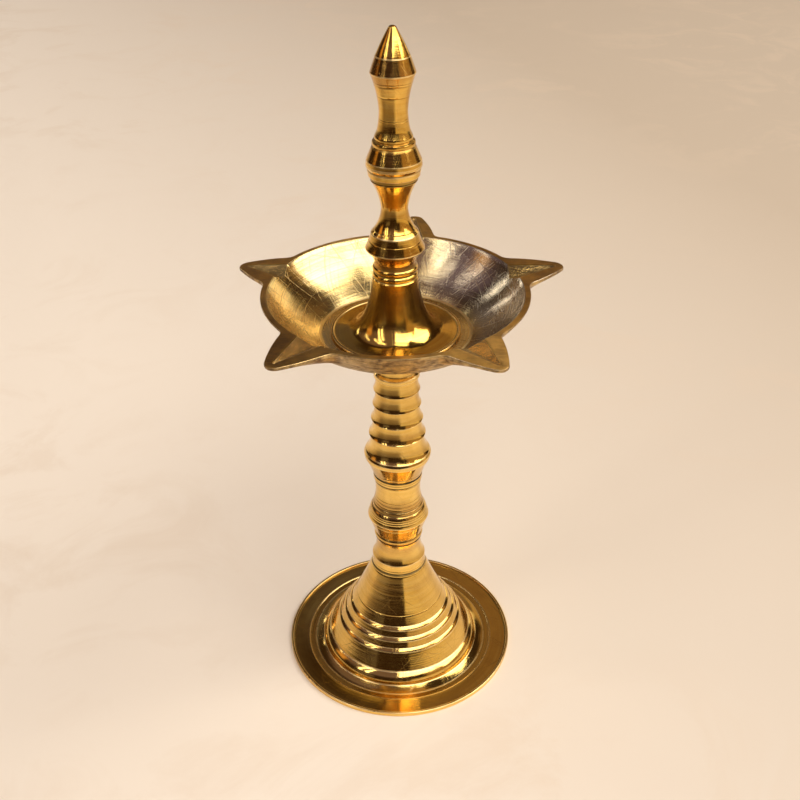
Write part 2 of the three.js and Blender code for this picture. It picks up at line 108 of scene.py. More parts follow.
def turnedBrass(name, look):
    material, tree = emptyMaterial(name)
    place, radius, angle, z = aroundTheAxis(tree)
    seed = look["seed"]

    # lines left by the tool, nearly rings
    climb = calc(tree, "MULTIPLY", angle, look["ringClimb"])
    ringPlace = addNode(tree, "CombineXYZ", {0: radius, 1: climb, 2: z}).outputs[0]
    moved = {0: ringPlace, 1: (seed, 0.3 * seed, 0.0)}
    ringPlace = addNode(tree, "VectorMath", moved, operation="ADD").outputs[0]
    fineRings = noiseOn(tree, ringPlace, look["fineScale"], 2.0, 0.6)
    cutRings = noiseOn(tree, ringPlace, look["cutScale"], 2.0, 0.55)
    wideRings = noiseOn(tree, ringPlace, look["wideScale"])
    broadRings = noiseOn(tree, ringPlace, look["broadScale"], 1.0)

    # scratches in slanting directions, each a thin high band of a stretched noise
    along = calc(tree, "MULTIPLY", angle, look["scratchTurn"])
    up = calc(tree, "ADD", z, calc(tree, "MULTIPLY", radius, 0.7))
    scratches = 0.0
    for slant, shift in look["slants"]:
        streakPlace = addNode(tree, "CombineXYZ", {
            0: calc(tree, "MULTIPLY", along, 0.03 + 0.02 * abs(slant)),
            1: calc(tree, "MULTIPLY_ADD", along, slant, up),
            2: seed + shift}).outputs[0]
        streakScale = look["scratchScale"] / max(1.0, abs(slant) / 2.5)
        streak = noiseOn(tree, streakPlace, streakScale, 1.0)
        thin = mapRange(tree, streak, look["scratchFrom"], look["scratchFrom"] + look["scratchWidth"])
        scratches = calc(tree, "MAXIMUM", scratches, thin)
    patches = noiseOn(tree, place, look["patchScale"], 3.0, 0.6)
    scratches = calc(tree, "MULTIPLY", scratches, mapRange(tree, patches, 0.36, 0.58))

    # small casting pits, in the middle of some of the cells
    cells = addNode(tree, "TexVoronoi", {"Vector": place, "Scale": look["pitScale"]}, feature="F1")
    chance = addNode(tree, "SeparateColor", {0: cells.outputs["Color"]}).outputs[0]
    chosen = mapRange(tree, chance, 0.99 - look["pitShare"], 1.0 - look["pitShare"])
    pit = mapRange(tree, cells.outputs["Distance"], 0.06, 0.13, 1.0, 0.0, smooth=True)
    pit = calc(tree, "MULTIPLY", pit, chosen)

    # grime and painted shade in the corners of the turning: dirt that stays there, and the shade that falls
    # there, painted near black
    grimeAndShade = addNode(tree, "Attribute", {}, attribute_name="grimeAndShade").outputs["Fac"]
    cloud = noiseOn(tree, place, look["cloudScale"], 4.0, 0.65)
    grimeAndShade = calc(tree, "MULTIPLY", grimeAndShade, mapRange(tree, cloud, 0.25, 0.55, 0.7, 1.0))

    # a brown bloom over the brass, in clouds and in rings
    bloom = calc(tree, "MULTIPLY_ADD", broadRings, 0.6, calc(tree, "MULTIPLY", patches, 0.5))
    bloom = mapRange(tree, bloom, 0.5, 0.72, 0.0, look["bloom"], smooth=True)

    # edges painted bright: partly worn by handling, partly a painted highlight of the light that a rounded edge
    # catches
    wornAndHighlit = addNode(tree, "Attribute", {}, attribute_name="edge").outputs["Fac"]
    wornAndHighlit = calc(tree, "MULTIPLY", mapRange(tree, wornAndHighlit, 0.15, 0.75), mapRange(tree, cloud, 0.3, 0.5, 0.6, 1.0))

    # pits and grime, with the painted shade in the corners
    dirtAndShade = calc(tree, "MAXIMUM", grimeAndShade, pit, clamp=True)
    colour = mixColour(tree, mapRange(tree, cutRings, 0.3, 0.7), look["gold"], look["deepGold"])
    colour = mixColour(tree, bloom, colour, look["brown"])
    colour = mixColour(tree, calc(tree, "MULTIPLY", scratches, look["scratchDark"]), colour, look["brown"])
    # painted shade and grime: the corners and pits take the near-black grime colour
    colour = mixColour(tree, dirtAndShade, colour, look["grimeAndShade"])
    # painted highlight and wear: the edges are mixed towards a bright gold
    colour = mixColour(tree, calc(tree, "MULTIPLY", wornAndHighlit, 0.8), colour, look["wornEdgeHighlight"])

    # each flaw adds its own roughness to the polish
    rough = mapRange(tree, fineRings, 0.3, 0.7, look["roughness"] * 0.75, look["roughness"] * 1.3)
    for flaw, added in ((bloom, 0.10), (scratches, 0.12), (wornAndHighlit, 0.22)):
        rough = calc(tree, "MULTIPLY_ADD", flaw, added, rough)
    rough = calc(tree, "MULTIPLY_ADD", dirtAndShade, 0.45, rough, clamp=True)

    # depths in millimetres
    height = calc(tree, "MULTIPLY", fineRings, look["fineDepth"])
    waves = noiseOn(tree, place, look["waveScale"])
    for pattern, depth in ((cutRings, look["cutDepth"]), (wideRings, look["wideDepth"]),
                           (scratches, -look["scratchDepth"]), (pit, -look["pitDepth"]),
                           (waves, look["waveDepth"])):
        height = calc(tree, "MULTIPLY_ADD", pattern, depth, height)
    metal = calc(tree, "MULTIPLY_ADD", dirtAndShade, -0.3, 1.0)

    if "castTop" in look:
        colour, rough, height, metal = castSkin(tree, look, place, radius, z, colour, rough, height, metal)

    bump = addNode(tree, "Bump", {"Height": height, "Distance": mm, "Strength": 1.0})
    surface = addNode(tree, "BsdfPrincipled", {
        "Base Color": colour, "Metallic": metal, "Roughness": rough, "Normal": bump.outputs[0],
        "Tangent": addNode(tree, "Tangent", direction_type="RADIAL", axis="Z").outputs[0]})
    surface.inputs["IOR"].default_value = 1.5
    surface.inputs["Anisotropic"].default_value = look["anisotropy"]
    surface.inputs["Anisotropic Rotation"].default_value = 0.25
    out = addNode(tree, "OutputMaterial", {0: surface.outputs[0]})
    out.is_active_output = True
    return material


def castSkin(tree, look, place, radius, z, colour, rough, height, metal):
    # the filed top of the rim and spouts, the wick grooves, and the rough skin outside under the rim
    facing = addNode(tree, "NewGeometry").outputs["Normal"]
    upward = addNode(tree, "SeparateXYZ", {0: facing}).outputs[2]
    top = calc(tree, "MULTIPLY", mapRange(tree, z, look["castTop"] - 0.0020, look["castTop"] - 0.0014),
               mapRange(tree, upward, 0.80, 0.95))
    groove = addNode(tree, "Attribute", {}, attribute_name="groove").outputs["Fac"]
    groove = mapRange(tree, groove, 0.02, 0.06)
    flat = addNode(tree, "VectorMath", {0: place, 1: (1.0, 1.0, 0.0)}, operation="MULTIPLY").outputs[0]
    away = addNode(tree, "VectorMath", {0: facing, 1: flat}, operation="DOT_PRODUCT").outputs["Value"]
    outside = calc(tree, "MULTIPLY", mapRange(tree, calc(tree, "DIVIDE", away, radius), 0.2, 0.4),
                   mapRange(tree, upward, 0.25, 0.45, 1.0, 0.0))
    # painted reflection: the basin's inner wall is painted a paler, silvery metal on its side towards +X
    side = calc(tree, "DIVIDE", addNode(tree, "SeparateXYZ", {0: place}).outputs[0], radius)
    silverReflectionShare = calc(tree, "MULTIPLY", mapRange(tree, side, 0.05, 0.75, 0.0, look["silverReflectionShare"], smooth=True),
                  mapRange(tree, radius, 0.032, 0.038))

    filePlace = addNode(tree, "Mapping", {"Vector": place, "Rotation": look["fileTurn"],
                                          "Scale": look["fileStretch"]}).outputs[0]
    fileMarks = noiseOn(tree, filePlace, look["fileScale"], 3.0, 0.6)
    grain, blotch, lumps = (noiseOn(tree, place, look[key], 3.0, 0.6)
                            for key in ("grainScale", "blotchScale", "lumpScale"))
    blotch = mapRange(tree, blotch, 0.35, 0.65)
    topColour = mixColour(tree, blotch, look["topDark"], look["topLight"])
    filed = mapRange(tree, fileMarks, 0.5, 0.72, 0.0, 0.7)
    topColour = mixColour(tree, filed, topColour, look["topLight"])
    grooveColour = mixColour(tree, blotch, look["grooveDark"], look["grooveLight"])
    skinColour = mixColour(tree, mapRange(tree, lumps, 0.35, 0.65), look["skinDark"], look["skinLight"])
    # painted reflection: the silvery colour laid on the basin's side
    colour = mixColour(tree, silverReflectionShare, colour, look["paintedReflectionSilver"])
    for share, over in ((top, topColour), (groove, grooveColour), (outside, skinColour)):
        colour = mixColour(tree, share, colour, over)

    topRough = mapRange(tree, fileMarks, 0.3, 0.7, 0.30, 0.44)
    skinRough = mapRange(tree, lumps, 0.3, 0.7, 0.45, 0.30)
    topHeight = calc(tree, "MULTIPLY_ADD", fileMarks, 0.09, calc(tree, "MULTIPLY", grain, 0.03))
    grooveHeight = calc(tree, "MULTIPLY_ADD", lumps, 0.35, calc(tree, "MULTIPLY", grain, 0.12))
    skinHeight = calc(tree, "MULTIPLY", lumps, 0.55)
    for share, newRough, newHeight in ((top, topRough, topHeight), (groove, 0.26, grooveHeight),
                                       (outside, skinRough, skinHeight)):
        rough = mixValue(tree, share, rough, newRough)
        height = mixValue(tree, share, height, newHeight)
    metal = mixValue(tree, groove, metal, 0.9)
    return colour, rough, height, metal


# colours, patterns' scales per metre, and depths in millimetres; a slant is a scratch's slope and its own shift
brassLook = {
    "seed": 2.0,
    "gold": (0.89, 0.605, 0.18, 1.0),
    "deepGold": (0.82, 0.515, 0.12, 1.0),
    "brown": (0.42, 0.20, 0.07, 1.0),
    # grime is the near black of dirt and of the painted shade in corners
    "grimeAndShade": (0.030, 0.018, 0.010, 1.0),
    # wornEdgeHighlight is the bright gold of worn edges and their painted highlight
    "wornEdgeHighlight": (1.0, 0.74, 0.34, 1.0),
    "roughness": 0.105,
    "anisotropy": 0.62,
    "bloom": 0.42,
    "slants": [(0.5, 1.7), (-0.9, 5.2), (2.6, 9.1)],
    "scratchScale": 1500.0,
    "scratchFrom": 0.66,
    "scratchWidth": 0.07,
    "scratchTurn": 0.02,
    "scratchDark": 0.4,
    "scratchDepth": 0.008,
    "patchScale": 55.0,
    "cloudScale": 160.0,
    "ringClimb": 0.0006,
    "fineScale": 2500.0, "fineDepth": 0.012,
    "cutScale": 1000.0, "cutDepth": 0.017,
    "wideScale": 380.0, "wideDepth": 0.030,
    "broadScale": 130.0,
    "waveScale": 90.0, "waveDepth": 0.050,
    "pitScale": 180.0, "pitDepth": 0.08, "pitShare": 0.06,
}
footLook = dict(
    brassLook, seed=7.0, roughness=0.10, bloom=0.30, pitShare=0.012, waveDepth=0.08, cutDepth=0.032)
finialLook = dict(
    brassLook, seed=4.0, bloom=0.60, pitShare=0.03, cutDepth=0.026,
    gold=(0.87, 0.56, 0.13, 1.0), deepGold=(0.78, 0.445, 0.08, 1.0), brown=(0.36, 0.16, 0.05, 1.0))
bowlLook = dict(
    brassLook, seed=12.0, roughness=0.20, anisotropy=0.85, scratchDepth=0.020, scratchDark=0.35, bloom=0.30,
    # silver is the colour of the painted reflection on the basin's side, and dulled its share
    paintedReflectionSilver=(0.60, 0.53, 0.43, 1.0),
    slants=[(0.4, 1.7), (-1.2, 5.2), (6.0, 9.1), (-9.0, 3.3)], scratchFrom=0.65, scratchScale=1100.0,
    pitShare=0.008, fineDepth=0.030, cutDepth=0.045, wideDepth=0.055, waveDepth=0.20,
    gold=(0.86, 0.65, 0.30, 1.0), deepGold=(0.74, 0.52, 0.19, 1.0),
    castTop=0.1962,  # the bowl's top in metres
    silverReflectionShare=0.75,
    fileTurn=(0.0, 0.0, 0.6), fileStretch=(1.0, 9.0, 1.0), fileScale=200.0,
    grainScale=900.0, blotchScale=110.0, lumpScale=330.0,
    topDark=(0.38, 0.22, 0.07, 1.0), topLight=(0.72, 0.42, 0.11, 1.0),
    grooveDark=(0.36, 0.22, 0.08, 1.0), grooveLight=(0.70, 0.47, 0.17, 1.0),
    skinDark=(0.20, 0.12, 0.06, 1.0), skinLight=(0.66, 0.46, 0.20, 1.0))

stemBrass = turnedBrass("stemBrass", brassLook)
footBrass = turnedBrass("footBrass", footLook)
finialBrass = turnedBrass("finialBrass", finialLook)
bowlBrass = turnedBrass("bowlBrass", bowlLook)


rubberLook = {"dark": (0.022, 0.018, 0.016, 1.0), "pale": (0.05, 0.042, 0.036, 1.0), "grainScale": 1800.0}


def washerRubber():
    material, tree = emptyMaterial("washerRubber")
    place = addNode(tree, "TexCoord").outputs["Object"]
    grain = noiseOn(tree, place, rubberLook["grainScale"], 3.0, 0.6)
    colour = mixColour(tree, mapRange(tree, grain, 0.3, 0.7), rubberLook["dark"], rubberLook["pale"])
    surface = addNode(tree, "BsdfPrincipled", {
        "Base Color": colour, "Roughness": mapRange(tree, grain, 0.3, 0.7, 0.7, 0.9),
        "Normal": addNode(tree, "Bump", {"Height": grain, "Distance": 0.00006}).outputs[0]})
    addNode(tree, "OutputMaterial", {0: surface.outputs[0]})
    return material


rubber = washerRubber()
print("materials made")


# turning

def bezier(start, middle, end, t):
    return (1 - t) ** 2 * start + 2 * t * (1 - t) * middle + t * t * end


def swollenMiddle(start, end, swell):
    # where a curve's middle point lies, so that the curve stands out by swell to the right of its way
    across, up = end[0] - start[0], end[1] - start[1]
    out = 2 * swell / math.hypot(across, up)
    return (start[0] + end[0]) / 2 + out * up, (start[1] + end[1]) / 2 - out * across


class Section:
    # half the section of a turned piece, followed cut by cut from where it starts; ease is how far a corner
    # is rounded and grime is how much dirt and painted shade it holds

    def __init__(self, radius, height):
        self.points = [(radius, height)]
        self.eases = [0.0]
        self.grimeAndShadeShares = [0.0]

    def to(self, radius, height, ease=0.0, grimeAndShade=0.0):
        self.points.append((radius, height))
        self.eases.append(ease)
        self.grimeAndShadeShares.append(grimeAndShade)
        return self

    def cut(self, radius, rise, ease=0.0, grimeAndShade=0.0):
        return self.to(radius, self.points[-1][1] + rise, ease, grimeAndShade)

    def bend(self, middle, end, ease=0.0, grimeAndShade=0.0, steps=12):
        start = self.points[-1]
        for i in range(1, steps):
            self.to(*(bezier(*ends, i / steps) for ends in zip(start, middle, end)))
        return self.to(*end, ease, grimeAndShade)

    def curve(self, radius, rise, swell, ease=0.0, grimeAndShade=0.0, steps=12):
        end = (radius, self.points[-1][1] + rise)
        return self.bend(swollenMiddle(self.points[-1], end, swell), end, ease, grimeAndShade, steps)

    def skirt(self, radius, rise, ledge, fall, share, ease=0.0, steps=18):
        # flares in from the crest below, rises plain, and steps out under the next crest
        bottom = self.points[-1][1]
        middle = (radius - ledge, bottom + rise * share)
        self.bend(middle, (radius - ledge, bottom + rise - fall), 0.0, 0.5, steps)
        return self.to(radius, bottom + rise, ease)

    def scribe(self, heights, width, depth, grimeAndShade=0.6):
        # fine lines that the corner of the tool cuts in the outside
        for height in heights:
            outermost = 0.0
            place = None
            for i in range(len(self.points) - 1):
                (ra, za), (rb, zb) = self.points[i], self.points[i + 1]
                if za == zb or (za - height) * (zb - height) > 0:
                    continue
                radius = ra + (rb - ra) * (height - za) / (zb - za)
                if radius > outermost:
                    outermost, place = radius, i
                    slope, up = (rb - ra) / (zb - za), (1 if zb > za else -1)
            first = last = place + 1
            while first > 1 and abs(self.points[first - 1][1] - height) < width * 0.6:
                first -= 1
            while last < len(self.points) - 1 and abs(self.points[last][1] - height) < width * 0.6:
                last += 1
            side = slope * up * width / 2
            self.points[first:last] = [
                (outermost - side, height - up * width / 2),
                (outermost - depth, height),
                (outermost + side, height + up * width / 2)]
            self.eases[first:last] = [0.0] * 3
            # the line's bottom takes grime and painted shade
            self.grimeAndShadeShares[first:last] = [0.0, grimeAndShade, 0.0]
        return self


# how far from its corner grime and painted shade reach, and a worn edge with its painted highlight: a share of
# the corner's ease and a margin
reaches = {"grimeAndShade": 0.6, "easeShare": 1.4, "margin": 0.15}


def settled(section, closed):
    # points close beside each corner, where its grime and painted shade or its worn, painted-highlight edge
    # ends
    ends = list(zip(section.points, section.eases, section.grimeAndShadeShares))
    count = len(ends)
    points = []
    for i, ((radius, height), ease, grimeAndShade) in enumerate(ends):
        reach = reaches["grimeAndShade"] if grimeAndShade else reaches["easeShare"] * ease + reaches["margin"]
        beside = [None, None]
        for side, k in enumerate((i - 1, i + 1)):
            if not (grimeAndShade or ease) or not (closed or 0 <= k < count):
                continue
            (otherRadius, otherHeight), _, otherGrimeAndShade = ends[k % count]
            across, up = otherRadius - radius, otherHeight - height
            length = math.hypot(across, up)
            if length > 2 * reach and not (grimeAndShade and otherGrimeAndShade):
                beside[side] = (radius + across * reach / length, height + up * reach / length)
        if beside[0]:
            points.append((beside[0], 0.0, 0.0, 0.0))
        points.append(((radius, height), ease, grimeAndShade, 1.0 if ease and not grimeAndShade else 0.0))
        if beside[1]:
            points.append((beside[1], 0.0, 0.0, 0.0))
    return points


def spun(section, steps=192, closed=False):
    bm = bmesh.new()
    # the grime layer carries dirt and painted shade in the corners
    grimeAndShadeLayer = bm.verts.layers.float.new("grimeAndShade")
    # the edge layer carries the worn edges and their painted highlight
    wearAndHighlightLayer = bm.verts.layers.float.new("edge")
    corners = {}
    verts = []
    for (radius, height), ease, grimeAndShade, edge in settled(section, closed):
        vert = bm.verts.new((radius * mm, 0.0, height * mm))
        vert[grimeAndShadeLayer] = grimeAndShade
        vert[wearAndHighlightLayer] = edge
        verts.append(vert)
        if ease:
            corners.setdefault(ease, []).append(vert)
    for i in range(len(verts) - 1):
        bm.edges.new((verts[i], verts[i + 1]))
    if closed:
        bm.edges.new((verts[-1], verts[0]))
    for ease, group in corners.items():
        bmesh.ops.bevel(bm, geom=group, offset=ease * mm, offset_type="OFFSET", affect="VERTICES",
                        segments=3, profile=0.5, material=-1, clamp_overlap=True)
    # an eighth of the turn, then copies of it until the ring closes
    bmesh.ops.spin(bm, geom=bm.verts[:] + bm.edges[:], cent=(0, 0, 0), axis=(0, 0, 1),
                   angle=math.pi / 4, steps=steps // 8)
    for angle in (math.pi / 4, math.pi / 2, math.pi):
        copy = bmesh.ops.duplicate(bm, geom=bm.verts[:] + bm.edges[:] + bm.faces[:])["geom"]
        turned = [v for v in copy if isinstance(v, bmesh.types.BMVert)]
        bmesh.ops.rotate(bm, verts=turned, cent=(0, 0, 0), matrix=Matrix.Rotation(angle, 3, "Z"))
    bmesh.ops.remove_doubles(bm, verts=bm.verts, dist=2e-7)
    bmesh.ops.recalc_face_normals(bm, faces=bm.faces)
    return bm


def screwThread(bm, start, turns, rootRadius, crestRadius, halfRoot, halfCrest, pitch, stepsPerTurn=64):
    # a ridge whose section is spun while it climbs; a crest inside the root makes a nut's thread
    sink = 0.4 if crestRadius > rootRadius else -0.4
    outline = [(rootRadius - sink, -halfRoot), (rootRadius, -halfRoot), (crestRadius, -halfCrest),
               (crestRadius, halfCrest), (rootRadius, halfRoot), (rootRadius - sink, halfRoot)]
    verts = [bm.verts.new((radius * mm, 0.0, (start + height) * mm)) for radius, height in outline]
    edges = [bm.edges.new((verts[i], verts[(i + 1) % len(verts)])) for i in range(len(verts))]
    steps = round(turns * stepsPerTurn)
    spinning = bmesh.ops.spin(bm, geom=verts + edges, cent=(0, 0, 0), axis=(0, 0, 1),
                              angle=2 * math.pi * turns, steps=steps, dvec=(0, 0, pitch * turns / steps * mm))
    ends = edges + [e for e in spinning["geom_last"] if isinstance(e, bmesh.types.BMEdge)]
    bmesh.ops.holes_fill(bm, edges=ends, sides=0)
    bmesh.ops.recalc_face_normals(bm, faces=bm.faces)


def addPiece(name, bm, body, node, material, sharp=32.0):
    mesh = bpy.data.meshes.new(name)
    bm.to_mesh(mesh)
    bm.free()
    mesh.shade_smooth()
    mesh.set_sharp_from_angle(angle=math.radians(sharp))
    mesh.materials.append(material)
    piece = bpy.data.objects.new(name, mesh)
    bpy.context.scene.collection.objects.link(piece)
    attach(piece, body)
    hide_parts(node)
    print("made", name, "with", len(mesh.polygons), "faces")
    return piece


# heights that pieces share

seat = {
    "gap": 0.3,  # between two pieces that screw together
    "footTop": 50.0,
    "lowerStem": 50.3,
    "knopStem": 66.9,
    "ribbedStem": 103.5,
    "stemTop": 172.6,
    "seatWasher": 172.9,
    "bowl": 174.0,
    "bowlFloor": 177.2,
    "bell": 177.5,
    "threadStart": 179.2,
    "studTop": 188.5,
    "boreTop": 189.5,
    "spire": 245.3,
}


# foot

foot = {
    "standRadius": 55.3, "rimHeight": 2.2, "lipRadius": 54.0, "dishHeight": 1.2,
    "ridgeRadius": 45.7, "grooveRadius": 42.6, "grooveHeight": 0.9,
    "bandFootRadius": 38.4, "bandFootHeight": 2.5,
    "bandTopRadius": 34.8, "bandTopHeight": 7.9, "bandSwell": 0.75,
    "terraceRadii": [29.0, 26.1, 23.2], "terraceHeights": [17.6, 21.95, 26.3],
    "beadWidth": 1.5, "beadHeight": 1.45, "beadSwell": 0.12,
    "topRadius": 12.9, "coneHollow": 0.4,
    "socketRadius": 6.45, "crownBottom": 38.0, "crownRadius": 14.3,
    "mouthRadius": 36.8, "innerBandRadius": 31.6,
    "lines": [48.9, 30.8],
}


def makeFoot():
    f = foot
    s = Section(f["socketRadius"], f["crownBottom"])
    s.to(f["crownRadius"], f["crownBottom"], 1.0)
    s.to(f["innerBandRadius"], f["bandTopHeight"], 1.5)
    s.to(f["mouthRadius"], 0.0, 0.5)
    s.to(f["standRadius"], 0.0, 0.35)
    s.to(f["standRadius"], f["rimHeight"], 0.4)
    s.to(f["lipRadius"], f["rimHeight"], 0.25)
    s.to(f["lipRadius"] - 0.2, f["dishHeight"], 0.0, 0.85)
    s.curve(f["ridgeRadius"], 0.12, -0.1, 0.25)
    s.to(f["ridgeRadius"] - 0.3, f["grooveHeight"] + 0.1, 0.0, 0.3)
    s.to(f["grooveRadius"], f["grooveHeight"], 0.25)
    s.curve(f["bandFootRadius"], f["bandFootHeight"] - f["grooveHeight"], -0.12, 0.25, 0.0, 8)
    s.curve(f["bandTopRadius"], f["bandTopHeight"] - f["bandFootHeight"], f["bandSwell"], 0.3, 0.0)
    for radius, height in zip(f["terraceRadii"], f["terraceHeights"]):
        s.to(radius + f["beadWidth"], height - f["beadHeight"], 0.18)
        s.curve(radius, f["beadHeight"], f["beadSwell"], 0.12, 0.0, 8)
    rise = seat["footTop"] - s.points[-1][1]
    s.curve(f["topRadius"], rise, -f["coneHollow"], 0.3, 0.8, 24)
    s.to(f["socketRadius"], seat["footTop"])
    s.scribe(f["lines"], 0.3, 0.06, 0.15)
    return addPiece("castFoot", spun(s, 256, closed=True), "foot", "base_foot", footBrass)


makeFoot()


# stem, three lengths

lowerStem = {
    "footRadius": 12.9, "ringHeight": 4.7, "ringTopRadius": 12.65, "ringHollow": 0.15,
    "waistRadius": 10.65, "coveHeight": 7.3, "coveHollow": 0.5,
    "topRadius": 11.1, "flareHeight": 4.3, "flareHollow": 0.15,
    "spigotRadius": 6.2, "spigotLength": 10.0, "lines": [51.6],
}

knopStem = {
    "footRadius": 11.1, "astragalHeight": 2.5, "astragalSwell": 0.35,
    "trumpetHeight": 9.6, "trumpetHollow": 0.12, "knopRadius": 14.3,
    "shoulderRadius": 13.05, "shoulderHeight": 4.1, "collarRadius": 12.1, "collarHeight": 1.9,
    "waistRadius": 10.36, "coveHeight": 8.5, "coveHollow": 0.35,
    "neckRadius": 10.8, "neckHeight": 6.0, "neckHollow": 0.1,
    "topRadius": 11.2, "ringHeight": 3.7, "ringSwell": 0.25,
    "spigotRadius": 5.0, "spigotLength": 9.0,
    "lines": [76.6, 77.4, 80.6, 81.6, 82.6, 88.0, 89.4, 91.0, 101.8],
    "deepLines": [69.5, 84.9, 86.7, 100.3],
}

ribbedStem = {
    "footRadius": 11.2, "trumpetHeight": 9.5, "trumpetHollow": 0.2,
    "bandFootRadius": 15.05, "bandRadius": 15.25, "bandHeight": 1.8,
    "bandTopRadius": 14.6, "bandTopHeight": 1.2,
    "ribRadii": [12.9, 11.75, 10.9, 10.4, 10.15], "ribHeights": [9.3, 8.0, 7.7, 7.6, 6.7],
    "ribLedge": 0.9, "ribLedgeFall": 0.3, "ribShare": 0.3,
    "discHeight": 1.7, "discTopFall": 1.2, "neckRadius": 8.75, "neckHeight": 7.2,
    "seatRadius": 13.6, "seatFlareHeight": 6.0, "seatFlareHollow": 0.9,
    "shankRadius": 6.0, "coreRadius": 5.0, "spigotRadius": 5.0, "spigotLength": 9.0,
    "lines": [105.3],
}

screw = {
    "majorRadius": 6.0, "depth": 1.0, "pitch": 2.5, "turns": 3.0,
    "halfRoot": 0.8, "halfCrest": 0.25, "clearance": 0.25,
}


def startOnSpigot(piece, bottom, grimeAndShade=1.0):
    s = Section(0.0, bottom - piece["spigotLength"])
    s.to(piece["spigotRadius"], bottom - piece["spigotLength"], 0.5)
    s.to(piece["spigotRadius"], bottom)
    # the corner at the seat is darkened with grime and painted shade between the pieces
    return s.to(piece["footRadius"], bottom, 0.3, grimeAndShade)


def endInSocket(s, spigotRadius, spigotLength):
    top = s.points[-1][1]
    bottom = top + seat["gap"] - spigotLength - 1.0
    s.to(spigotRadius + 0.25, top, 0.2)
    s.to(spigotRadius + 0.25, bottom)
    return s.to(0.0, bottom)


def makeLowerStem():
    p = lowerStem
    s = startOnSpigot(p, seat["lowerStem"])
    s.curve(p["ringTopRadius"], p["ringHeight"], -p["ringHollow"], 0.25)
    s.curve(p["waistRadius"], p["coveHeight"], -p["coveHollow"], steps=18)
    s.curve(p["topRadius"], p["flareHeight"], -p["flareHollow"], 0.3, 1.0)
    endInSocket(s, knopStem["spigotRadius"], knopStem["spigotLength"])
    s.scribe(p["lines"], 0.3, 0.08)
    return addPiece("stemWaist", spun(s), "lower_stem", "lower_stem", stemBrass)


def makeKnopStem():
    p = knopStem
    s = startOnSpigot(p, seat["knopStem"])
    s.curve(p["footRadius"], p["astragalHeight"], p["astragalSwell"], 0.0, 0.7, 8)
    s.curve(p["knopRadius"], p["trumpetHeight"], -p["trumpetHollow"], 0.18, 0.0, 16)
    s.cut(p["shoulderRadius"], p["shoulderHeight"])
    s.cut(p["collarRadius"], p["collarHeight"])
    s.curve(p["waistRadius"], p["coveHeight"], -p["coveHollow"], steps=16)
    s.curve(p["neckRadius"], p["neckHeight"], -p["neckHollow"], 0.0, 0.5)
    s.curve(p["topRadius"], p["ringHeight"], p["ringSwell"], 0.3, 1.0, 8)
    endInSocket(s, ribbedStem["spigotRadius"], ribbedStem["spigotLength"])
    s.scribe(p["lines"], 0.28, 0.07, 0.35)
    # the deep lines are painted near black with grime and painted shade
    s.scribe(p["deepLines"], 0.7, 0.3, 1.0)
    return addPiece("stemKnop", spun(s), "knop_stem", "knop_stem", stemBrass)


def makeRibbedStem():
    p = ribbedStem
    s = startOnSpigot(p, seat["ribbedStem"])
    s.curve(p["bandFootRadius"], p["trumpetHeight"], -p["trumpetHollow"], 0.1, 0.0, 16)
    s.cut(p["bandRadius"], p["bandHeight"], 0.12)
    s.cut(p["bandTopRadius"], p["bandTopHeight"], 0.15)
    for radius, height in zip(p["ribRadii"], p["ribHeights"]):
        s.skirt(radius, height, p["ribLedge"], p["ribLedgeFall"], p["ribShare"], 0.18)
    s.cut(p["ribRadii"][-1], p["discHeight"], 0.25)
    s.cut(p["neckRadius"], p["discTopFall"], 0.3, 0.3)
    s.cut(p["neckRadius"], p["neckHeight"])
    s.curve(p["seatRadius"], p["seatFlareHeight"], -p["seatFlareHollow"], 0.1)
    s.to(p["seatRadius"], seat["stemTop"], 0.2)
    s.to(p["shankRadius"], seat["stemTop"])
    s.to(p["shankRadius"], seat["threadStart"], 0.15)
    s.to(p["coreRadius"], seat["threadStart"])
    s.to(p["coreRadius"], seat["studTop"] - 1.0)
    s.to(p["coreRadius"] - 0.5, seat["studTop"], 0.2)
    s.to(0.0, seat["studTop"])
    s.scribe(p["lines"], 0.28, 0.07, 0.5)
    bm = spun(s)
    t = screw
    screwThread(bm, seat["threadStart"], t["turns"], t["majorRadius"] - t["depth"], t["majorRadius"],
                t["halfRoot"], t["halfCrest"], t["pitch"])
    return addPiece("stemRibs", bm, "ribbed_stem", "ribbed_stem", stemBrass)


makeLowerStem()
makeKnopStem()
makeRibbedStem()


# washers

washers = {"holeRadius": 6.3, "thickness": 0.8, "seatRadius": 12.8, "bellRadius": 17.4}


def makeWasher(name, radius, bottom, body, node):
    w = washers
    s = Section(w["holeRadius"], bottom)
    s.to(radius, bottom, 0.2)
    s.to(radius, bottom + w["thickness"], 0.2)
    s.to(w["holeRadius"], bottom + w["thickness"])
    return addPiece(name, spun(s, 96, closed=True), body, node, rubber)


makeWasher("underBowlWasher", washers["seatRadius"], seat["seatWasher"], "ribbed_stem", "seat_washer")
makeWasher("underBellWasher", washers["bellRadius"], seat["bell"], "bell_washer", "bell_washer")


# oil bowl with five spouts

bowl = {
    "floorRadius": 29.5, "basinRadius": 32.0, "rampRadius": 35.7, "rampTop": 179.5,
    "rimRadius": 56.0, "innerRimRadius": 53.4, "top": 196.2, "rimEdge": 0.7,
    "outerSwell": 2.4, "innerSwell": 1.6, "holeRadius": 6.3,
    "tipRounding": 4.2, "tipArc": 52.0, "rootRadius": 51.0, "sideSwell": 1.1,
    "filletRadius": 3.6, "sideHeights": (1.5, 1.1), "underStart": 186.0, "droop": 0.9,
    "grooveHalfWidths": (6.5, 0.6), "grooveDepths": (3.0, 0.45), "grooveEndMargin": 3.4,
    "edgeEase": 0.3,
}
